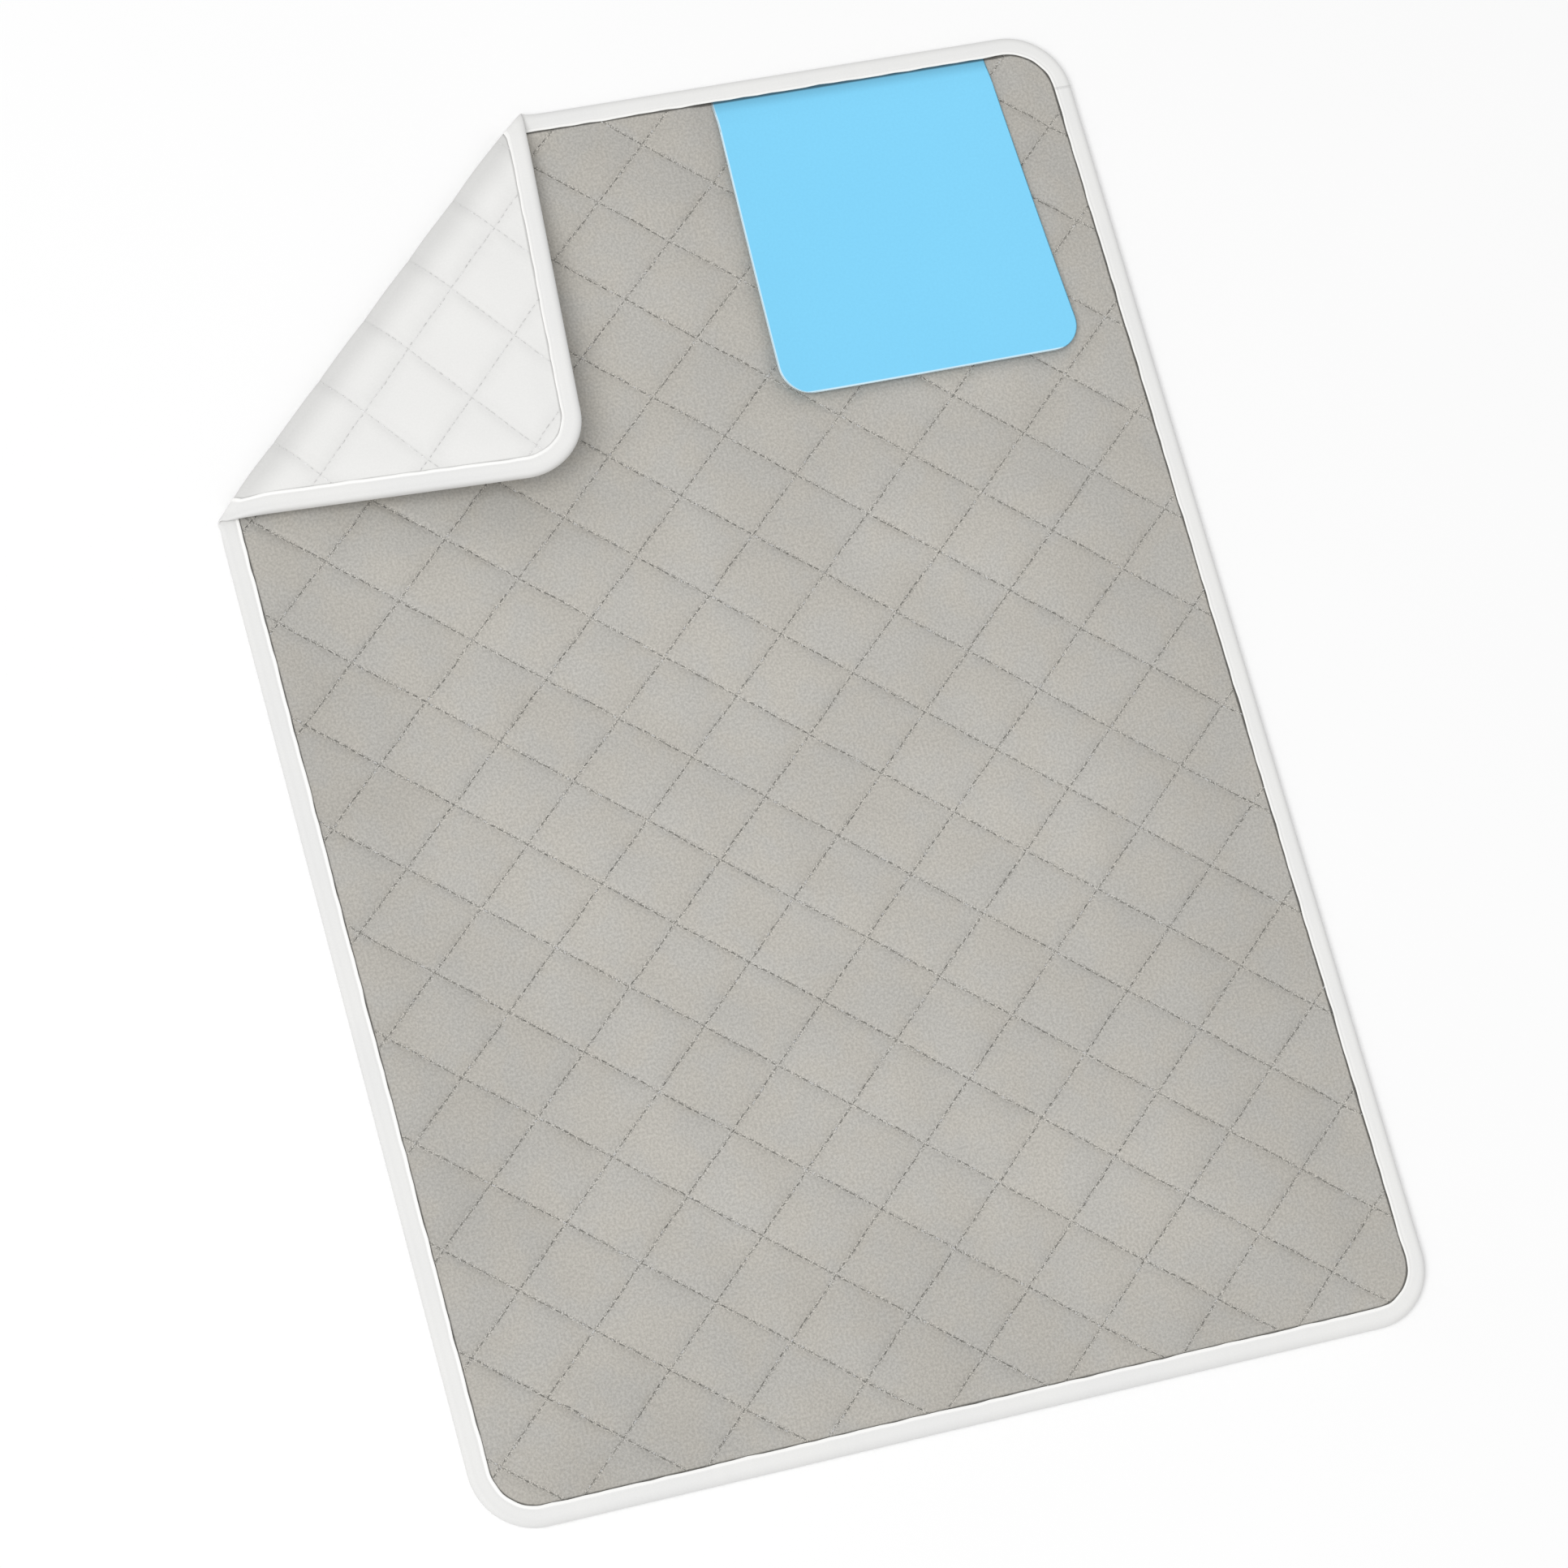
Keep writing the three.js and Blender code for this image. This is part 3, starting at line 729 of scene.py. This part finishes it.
def thread_material(name, dark, light, hole_shade, glint, roughness):
    """Twisted sewing thread, with painted shade where a stitch enters the cloth and painted glints on a few
    stitches.
    """
    material, tree, shader = new_material(name)
    place = flat_place(tree)
    run = part_of(tree, place, "X")
    round_run = part_of(tree, place, "Y")
    to_end = part_of(tree, place, "Z")
    twist = calculate(tree, "ADD", calculate(tree, "MULTIPLY", run, 2 * math.pi / THREAD_PLY), round_run)
    worn = spread(tree, noise_along(tree, run, 1 / THREAD_WEAR, detail=2.0), 0.30, 0.70)
    tint = colour_mix(tree, worn, dark, light)
    # Painted glints on a few stitches
    bright = spread(tree, noise_along(tree, run, 1 / THREAD_GLINT), 0.62, 0.68)
    tint = colour_mix(tree, bright, tint, glint)
    # Painted shade where a stitch goes into its needle hole
    hole_shade_share = spread(tree, to_end, STITCH_HOLE_START, STITCH_HOLE_END)
    tint = colour_mix(tree, hole_shade_share, tint, hole_shade)
    set_surface(tree, shader, tint, Roughness=roughness, Sheen_Weight=0.1)
    set_bump(tree, shader, calculate(tree, "SINE", twist), depth=0.04 * MM)
    return material


def batting_material():
    """Loose off-white padding."""
    material, tree, shader = new_material("batting")
    tufts = noise(tree, flat_place(tree), scale=160, detail=4.0, roughness=0.7)
    tint = colour_mix(tree, tufts, BATTING_PALE, BATTING_DARK)
    set_surface(tree, shader, tint, Roughness=1.0, Sheen_Weight=0.3)
    set_bump(tree, shader, tufts, depth=0.8 * MM)
    return material


def film_material():
    """Thin crinkled metallised film."""
    material, tree, shader = new_material("film")
    crinkle = noise(tree, flat_place(tree), scale=120, detail=3.0, roughness=0.6)
    tint = colour_mix(tree, crinkle, FILM_BRIGHT, FILM_DULL)
    set_surface(tree, shader, tint, Metallic=1.0, Roughness=0.28)
    set_bump(tree, shader, crinkle, depth=0.3 * MM)
    return material


def label_material():
    """Bare satin sky-blue card, with a painted highlight along its left and lower edges and painted shade
    where it goes under the tape.
    """
    material, tree, shader = new_material("label_card")
    place = flat_place(tree)
    edge = part_of(tree, place, "Z")
    pulp = noise(tree, place, scale=700, detail=3.0, roughness=0.6)
    drift = noise(tree, place, scale=14)
    tint = colour_mix(tree, drift, LABEL_DEEP_BLUE, LABEL_LIGHT_BLUE)
    fibres = colour_mix(tree, pulp, grey(0.965), grey(1.035))
    grained = multiplied(tree, tint, fibres)
    # Painted highlight along the card's left and lower edges
    rim = fading(tree, edge, LABEL_HIGHLIGHT_START, LABEL_HIGHLIGHT_END)
    rim_highlighted = colour_mix(tree, rim, grained, LABEL_RIM_HIGHLIGHT)
    # Painted shade where the card goes under the tape, darkest in the gap at the tape's edge
    below_tape = calculate(tree, "SUBTRACT", label_high.y, part_of(tree, place, "Y"))
    soft_shade = spread(tree, below_tape, LABEL_SHADE_START, LABEL_SHADE_END, to_low=0.68)
    gap_shade = spread(tree, below_tape, LABEL_GAP_START, LABEL_GAP_END, to_low=0.25)
    tint = dimmed(tree, rim_highlighted, product(tree, soft_shade, gap_shade))
    set_surface(tree, shader, tint, Specular_IOR_Level=0.35)
    roughness = spread(tree, pulp, 0.2, 0.8, to_low=0.42, to_high=0.56)
    tree.links.new(roughness, shader.inputs["Roughness"])
    set_bump(tree, shader, pulp, depth=0.03 * MM)
    return material


def floor_material():
    """Dull, nearly white floor."""
    material, tree, shader = new_material("pale_floor")
    place = add(tree, "TexCoord").outputs["Object"]
    tint = colour_mix(tree, noise(tree, place, scale=6), FLOOR_DARK, FLOOR_PALE)
    set_surface(tree, shader, tint, Roughness=0.9, Specular_IOR_Level=0.1)
    return material


# Cloth layers

LAYER_NODES = ("panel", "fold", "flap")


def finish_layer(piece, layer):
    """Hides the solids that a layer stands for, and folds its corner."""
    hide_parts(*[part + "_" + layer for part in LAYER_NODES])
    fold_piece(piece)


def make_layers():
    """The cover, the batting, the film and the backing, from the face down."""
    fine = cut_sheet(FINE_DIVISIONS)
    coarse = cut_sheet(COARSE_DIVISIONS)
    x, y = fine[0].T
    coarse_x, coarse_y = coarse[0].T

    top = cover_top(x, y)
    cover = cloth_piece("cover", fine, top, top - COVER_THICKNESS, cover_material())
    finish_layer(cover, "cover")

    top = batting_top(coarse_x, coarse_y)
    bottom = np.full_like(top, BATTING_SEAM_Z - BATTING_THICKNESS)
    batting = cloth_piece("batting", coarse, top, bottom, batting_material())
    finish_layer(batting, "batting")

    top = np.full_like(coarse_x, FILM_TOP_Z)
    film = cloth_piece("film", coarse, top, top - FILM_THICKNESS, film_material())
    finish_layer(film, "film")

    bottom = backing_bottom(x, y)
    backing = cloth_piece("backing", fine, bottom + BACKING_THICKNESS, bottom, backing_material())
    finish_layer(backing, "backing")


# Edge tape

def side_places(start, end):
    """Places along a straight side after its start, closer together at the fold."""
    heading = (end - start).normalized()
    length = (end - start).length
    places = []
    run = 0.0
    while True:
        past_fold = float((np.array(start + heading * run) - FOLD_POINT) @ FOLD_OUT)
        run += TAPE_BEND_STEP if abs(past_fold) < BEND_ZONE else TAPE_STEP
        if run > length - TAPE_BEND_STEP:
            return places
        places.append(start + heading * run)


def edge_stations():
    """Places round the outer edge, their inward directions and the run along the edge."""
    places = []
    inward = []
    points = outline(0, TAPE_CORNER_STEPS)
    arc_points = TAPE_CORNER_STEPS + 1
    for quarter in range(4):
        arc = points[quarter * arc_points:(quarter + 1) * arc_points]
        for facet in range(arc_points):
            turn = math.pi / 2 * (quarter + facet / TAPE_CORNER_STEPS)
            inward.append((-math.cos(turn), -math.sin(turn)))
        following = points[(quarter + 1) * arc_points % len(points)]
        side = side_places(arc[-1], following)
        inward += [inward[-1]] * len(side)
        places += [(place.x, place.y) for place in arc + side]
    places = np.array(places)
    inward = np.array(inward)
    gaps = np.linalg.norm(np.diff(places, axis=0), axis=1)
    return places, inward, np.append(0, np.cumsum(gaps))


def tape_profile():
    """Closed section of the folded tape as insets from the outer edge and heights."""
    half = MAT_HEIGHT / 2 - TAPE_SINK - TAPE_THICKNESS / 2
    inset = LIP_WIDTH - TAPE_THICKNESS / 2
    lip = inset - (inset - TAPE_ROUND) * np.linspace(0, 1, LIP_POINTS) ** LIP_CROWDING
    from_end = LIP_WIDTH - lip
    ridge = RIDGE_HEIGHT * np.exp(-((from_end - RIDGE_INSET) / RIDGE_SPREAD) ** 2)
    groove = GROOVE_DEPTH * np.exp(-((from_end - GROOVE_INSET) / GROOVE_SPREAD) ** 2)
    turns = np.linspace(math.pi / 2, 0, TAPE_ROUND_POINTS)[1:]
    round_inset = TAPE_ROUND - (TAPE_ROUND - TAPE_THICKNESS / 2) * np.cos(turns) ** TAPE_ROUND_POWER
    round_height = half * np.sin(turns) ** TAPE_ROUND_POWER
    upper = np.column_stack((np.append(lip, round_inset), np.append(half + ridge - groove, round_height)))
    lower = upper[-2::-1] * (1, -1)
    middle = np.concatenate((upper, lower))
    heading = np.gradient(middle, axis=0)
    heading /= np.linalg.norm(heading, axis=1)[:, None]
    out = np.column_stack((heading[:, 1], -heading[:, 0]))
    outer = middle - out * TAPE_THICKNESS / 2
    inner = middle + out * TAPE_THICKNESS / 2
    upper_end = middle[:1] - heading[:1] * TAPE_END_ROUND
    lower_end = middle[-1:] + heading[-1:] * TAPE_END_ROUND
    section = np.concatenate((upper_end, outer, lower_end, inner[::-1]))
    return section + (0, MAT_HEIGHT / 2)


def lip_wobble(run, length):
    """Slight waviness of the tape's inner edge, made of whole waves so that it closes after one round."""
    random = np.random.default_rng(WOBBLE_SEED)
    wobble = np.zeros(len(run))
    for waves in WOBBLE_WAVES:
        phase = random.random()
        wobble += np.sin(2 * math.pi * (waves * run / length + phase)) / math.sqrt(len(WOBBLE_WAVES))
    return wobble


def hoop_faces(stations, around):
    """Faces of a closed hoop made of rings, each ring with the same number of points around."""
    faces = []
    for station in range(stations):
        here = station * around
        following = (station + 1) % stations * around
        for step in range(around):
            beyond = (step + 1) % around
            faces.append([here + step, following + step, following + beyond, here + beyond])
    return faces


def make_binding():
    """The tape that wraps the whole edge."""
    places, inward, run = edge_stations()
    section = tape_profile()
    shape = (len(places), len(section))
    length = run[-1] + np.linalg.norm(places[0] - places[-1])
    lean = (section[:, 0] / LIP_WIDTH) ** 2
    inset = section[:, 0] + LIP_WOBBLE * np.outer(lip_wobble(run, length), lean)
    flat = places[:, None, :] + inset[:, :, None] * inward[:, None, :]
    height = np.broadcast_to(section[:, 1], shape)
    points = np.concatenate((flat, height[:, :, None]), axis=2).reshape(-1, 3)
    binding = new_piece("binding", points, hoop_faces(*shape), tape_material())
    across = np.append(0, np.cumsum(np.linalg.norm(np.diff(section, axis=0), axis=1)))
    from_end = np.broadcast_to(LIP_WIDTH - section[:, 0], shape)
    marks = np.stack((*np.meshgrid(run, across, indexing="ij"), from_end), axis=2)
    set_flat_place(binding, marks.reshape(-1, 3))
    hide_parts("panel_binding", "fold_binding_side", "fold_binding_top", "flap_binding")
    fold_piece(binding)


# Stitches

def turned(headings, angles):
    """Flat directions, each turned by its own angle."""
    cosine, sine = np.cos(angles), np.sin(angles)
    return np.column_stack((
        headings[:, 0] * cosine - headings[:, 1] * sine,
        headings[:, 0] * sine + headings[:, 1] * cosine,
    ))


def stitch_faces(count, upside):
    """Faces of many stitches, each a closed tube, facing out on either side of the mat."""
    one = []
    for ring in range(STITCH_RINGS - 1):
        near, far = ring * STITCH_SIDES, (ring + 1) * STITCH_SIDES
        for side in range(STITCH_SIDES):
            beyond = (side + 1) % STITCH_SIDES
            one.append([near + side, near + beyond, far + beyond, far + side])
    one.append(list(reversed(range(STITCH_SIDES))))
    one.append(list(range((STITCH_RINGS - 1) * STITCH_SIDES, STITCH_RINGS * STITCH_SIDES)))
    if upside > 0:
        one = [face[::-1] for face in one]
    size = STITCH_RINGS * STITCH_SIDES
    return [[corner + size * stitch for corner in face] for stitch in range(count) for face in one]


def stitch_piece(name, middles, headings, heights, upside, material, seed):
    """Many short stitches in one piece, each a thin arched body with both ends in the cloth."""
    random = np.random.default_rng(seed)
    count = len(middles)
    shape = (count, STITCH_RINGS, STITCH_SIDES)
    lengths = STITCH_LENGTH * (STITCH_SHORTEST + STITCH_VARIETY * random.random(count))
    headings = turned(headings, STITCH_SWING * (random.random(count) - 0.5))
    sides = np.column_stack((-headings[:, 1], headings[:, 0]))
    turns = 2 * np.pi * np.arange(STITCH_SIDES) / STITCH_SIDES
    radius = STITCH_RADIUS * RING_THICKNESS[:, None]
    run = lengths[:, None, None] * RING_ALONG[:, None]
    aside = radius * np.cos(turns)
    rise = radius * np.sin(turns) + STITCH_DIP * RING_DIP[:, None] + STITCH_LIFT
    flat = middles[:, None, None, :] + np.broadcast_to(run, shape)[..., None] * headings[:, None, None, :]
    flat = flat + np.broadcast_to(aside, shape)[..., None] * sides[:, None, None, :]
    height = heights[:, None, None] + upside * np.broadcast_to(rise, shape)
    points = np.concatenate((flat, height[..., None]), axis=3).reshape(-1, 3)
    piece = new_piece(name, points, stitch_faces(count, upside), material)
    start = STITCH_MARK_STEP * np.arange(count)[:, None, None]
    to_end = np.abs(RING_ALONG)[:, None]
    marks = [np.broadcast_to(values, shape) for values in (run + start, turns, to_end)]
    set_flat_place(piece, np.stack(marks, axis=3).reshape(-1, 3))
    return piece


def seam_stitches(step, other, shift, seed):
    """Middles and headings of the stitches along every seam of one family, inside the edge tape."""
    random = np.random.default_rng(seed)
    heading = step / np.linalg.norm(step)
    side = np.array((-heading[1], heading[0]))
    middles = []
    for row in range(-SEAM_ROWS, SEAM_ROWS + 1):
        start = QUILT_ORIGIN + row * other
        run = np.arange(-SEAM_REACH, SEAM_REACH, STITCH_PITCH) + shift * STITCH_PITCH
        run = run + STITCH_JITTER * STITCH_PITCH * (random.random(len(run)) - 0.5)
        line = start + np.outer(run, heading)
        row_seed = [seed, row + SEAM_ROWS]
        sway = SEAM_SWAY * soft_waves(line[:, 0], line[:, 1], row_seed, SEAM_SWAY_WAVES)
        line = line + np.outer(sway, side)
        line = line[edge_distance(line[:, 0], line[:, 1]) > STITCH_END_INSET]
        middles.append(line)
    middles = np.concatenate(middles)
    return middles, np.tile(heading, (len(middles), 1))


def make_face_stitches(family, step, other, seed, thread):
    """The stitches of one family of seams on the face."""
    middles, headings = seam_stitches(step, other, 0.0, seed)
    heights = cover_top(middles[:, 0], middles[:, 1])
    piece = stitch_piece("stitches_" + family, middles, headings, heights, 1, thread, seed)
    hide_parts("panel_thread_" + family, "flap_thread_" + family)
    fold_piece(piece)


def make_back_stitches(family, step, other, seed, thread):
    """The stitches of one family of seams on the back, between those on the face."""
    middles, headings = seam_stitches(step, other, BACK_SHIFT, seed)
    heights = backing_bottom(middles[:, 0], middles[:, 1])
    piece = stitch_piece("back_stitches_" + family, middles, headings, heights, -1, thread, seed)
    fold_piece(piece)


def make_binding_seam(thread):
    """The stitches under the tape's lip that hold the tape."""
    places, inward, run = edge_stations()
    evenly = np.arange(0, run[-1], STITCH_PITCH)
    middles = np.column_stack([np.interp(evenly, run, places[:, axis]) for axis in (0, 1)])
    inside = np.column_stack([np.interp(evenly, run, inward[:, axis]) for axis in (0, 1)])
    middles = middles + BINDING_SEAM_INSET * inside
    headings = np.column_stack((inside[:, 1], -inside[:, 0]))
    heights = cover_top(middles[:, 0], middles[:, 1])
    seam = stitch_piece("binding_seam", middles, headings, heights, 1, thread, BINDING_SEAM_SEED)
    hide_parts("panel_binding_seam", "flap_binding_seam")
    fold_piece(seam)


def make_stitches():
    """All threads: grey on the face, white on the back and under the tape."""
    grey_looks = (GREY_THREAD_DARK, GREY_THREAD_WORN, GREY_THREAD_HOLE_SHADE, GREY_THREAD_GLINT)
    white_looks = (WHITE_THREAD_DULL, WHITE_THREAD_CLEAN, WHITE_THREAD_HOLE_SHADE, WHITE_THREAD_GLINT)
    grey_thread = thread_material("grey_thread", *grey_looks, roughness=0.7)
    white_thread = thread_material("white_thread", *white_looks, roughness=0.6)
    for family, step, other, seed in SEAM_FAMILIES:
        make_face_stitches(family, step, other, seed, grey_thread)
        make_back_stitches(family, step, other, seed + BACK_SEED_STEP, white_thread)
    make_binding_seam(white_thread)


# Label

def label_half_width(y):
    """Half the label's width at a height on the mat: it flares downwards and its lower corners are round."""
    down = (label_high.y - y) / LABEL_LENGTH
    flare = LABEL_TOP_WIDTH + (LABEL_BOTTOM_WIDTH - LABEL_TOP_WIDTH) * np.clip(down, 0, 1)
    above = np.clip(y - label_low.y, 0, LABEL_CORNER_RADIUS)
    cut = LABEL_CORNER_RADIUS - np.sqrt(LABEL_CORNER_RADIUS ** 2 - (LABEL_CORNER_RADIUS - above) ** 2)
    return flare / 2 - cut


def label_rest_height(x, y):
    """Height of the label's lower face: its tongue under the tape, then over the quilting, curling up."""
    raised = smooth_step((label_high.y - y) / LABEL_SLOPE)
    down = np.clip((label_high.y - y) / LABEL_LENGTH, 0, 1)
    leftward = np.clip(2 * (label_high.x - x) / LABEL_BOTTOM_WIDTH - 1, 0, 1)
    resting = label_low.z + LABEL_LIFT - LABEL_TONGUE_Z
    curl = LABEL_CURL * down ** 3 + LABEL_SIDE_CURL * leftward ** 3 * raised
    return LABEL_TONGUE_Z + resting * raised + curl


def label_sheet():
    """Flat points and faces of the label with its tongue, closer together at the edges."""
    shares = 0.5 - 0.5 * np.cos(np.pi * np.linspace(0, 1, LABEL_ROWS))
    rows = tongue_high.y + (label_low.y - tongue_high.y) * shares
    across = np.sin(np.pi / 2 * np.linspace(-1, 1, LABEL_COLUMNS))
    x = LABEL_MIDDLE_X + label_half_width(rows)[:, None] * across
    y = np.broadcast_to(rows[:, None], x.shape)
    faces = []
    for row in range(LABEL_ROWS - 1):
        for column in range(LABEL_COLUMNS - 1):
            near = row * LABEL_COLUMNS + column
            far = near + LABEL_COLUMNS
            faces.append([near, far, far + 1, near + 1])
    return np.column_stack((x.ravel(), y.ravel())), faces


def bevel_rim(piece):
    """Rounds the sharp edges between a flat card's faces and its rim."""
    work = bmesh.new()
    work.from_mesh(piece.data)
    sharp = [edge for edge in work.edges if edge.calc_face_angle(0) > LABEL_SHARP_ANGLE]
    level = [edge for edge in sharp if abs(edge.verts[0].co.z - edge.verts[1].co.z) < LABEL_BEVEL]
    shape = {"offset": LABEL_BEVEL, "segments": LABEL_BEVEL_STEPS, "profile": 0.5}
    bmesh.ops.bevel(work, geom=level, affect="EDGES", **shape)
    work.to_mesh(piece.data)
    work.free()
    shade_smooth(piece.data)


def make_label():
    """The blue card, with its tongue under the tape and its body laid over the quilting."""
    flat, faces = label_sheet()
    count = len(flat)
    upper = np.column_stack((flat, np.full(count, LABEL_THICKNESS)))
    lower = np.column_stack((flat, np.zeros(count)))
    both = np.concatenate((upper, lower))
    label = new_piece("label_card", both, closed_faces(faces, count), label_material())
    bevel_rim(label)
    places = piece_places(label)
    x, y, z = places.T
    from_left = label_half_width(y) + x - LABEL_MIDDLE_X
    edge = np.minimum(from_left, y - label_low.y)
    set_flat_place(label, np.column_stack((x, y, edge)))
    places[:, 2] = z + label_rest_height(x, y)
    set_piece_places(label, places)
    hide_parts("label", "label_tongue")
    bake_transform(label)


# Stage, light and camera

def make_floor():
    """A wide floor under the mat."""
    size = FLOOR_HALF_SIZE
    corners = [(-size, -size, 0), (size, -size, 0), (size, size, 0), (-size, size, 0)]
    floor = new_piece("floor", corners, [[0, 1, 2, 3]], floor_material())


def aimed(back, roll=0.0):
    """Turn of a camera or lamp that looks against the given direction."""
    right = UP.cross(back).normalized()
    up = back.cross(right)
    turned_right = right * math.cos(roll) + up * math.sin(roll)
    turned_up = up * math.cos(roll) - right * math.sin(roll)
    return Matrix((turned_right, turned_up, back)).transposed().to_4x4()


def make_lamp():
    """One large round lamp, aimed at the middle of the mat."""
    data = bpy.data.lights.new("key_lamp", "AREA")
    data.shape = "DISK"
    data.size = LAMP_SIZE
    data.energy = LAMP_POWER
    lamp = bpy.data.objects.new("key_lamp", data)
    lamp.matrix_world = Matrix.Translation(LAMP_PLACE) @ aimed(LAMP_PLACE.normalized())
    bpy.context.scene.collection.objects.link(lamp)


def make_light():
    """Even white light from all round, and the lamp."""
    world = bpy.data.worlds.new("studio")
    world.use_nodes = True
    background = world.node_tree.nodes["Background"]
    background.inputs["Color"].default_value = grey(1.0)
    background.inputs["Strength"].default_value = WORLD_STRENGTH
    bpy.context.scene.world = world
    make_lamp()
    bpy.context.scene.view_settings.view_transform = "Standard"


def make_camera():
    """The camera, turned and rolled as the photo was taken."""
    back = Vector((
        math.sin(CAMERA_AZIMUTH) * math.cos(CAMERA_ELEVATION),
        -math.cos(CAMERA_AZIMUTH) * math.cos(CAMERA_ELEVATION),
        math.sin(CAMERA_ELEVATION),
    ))
    data = bpy.data.cameras.new("camera")
    data.lens = CAMERA_LENS
    data.sensor_width = CAMERA_SENSOR
    camera = bpy.data.objects.new("camera", data)
    camera.matrix_world = Matrix.Translation(CAMERA_AIM + back * CAMERA_DISTANCE) @ aimed(back, CAMERA_ROLL)
    bpy.context.scene.collection.objects.link(camera)
    bpy.context.scene.camera = camera


make_camera()
make_floor()
make_light()
make_layers()
make_binding()
make_stitches()
make_label()
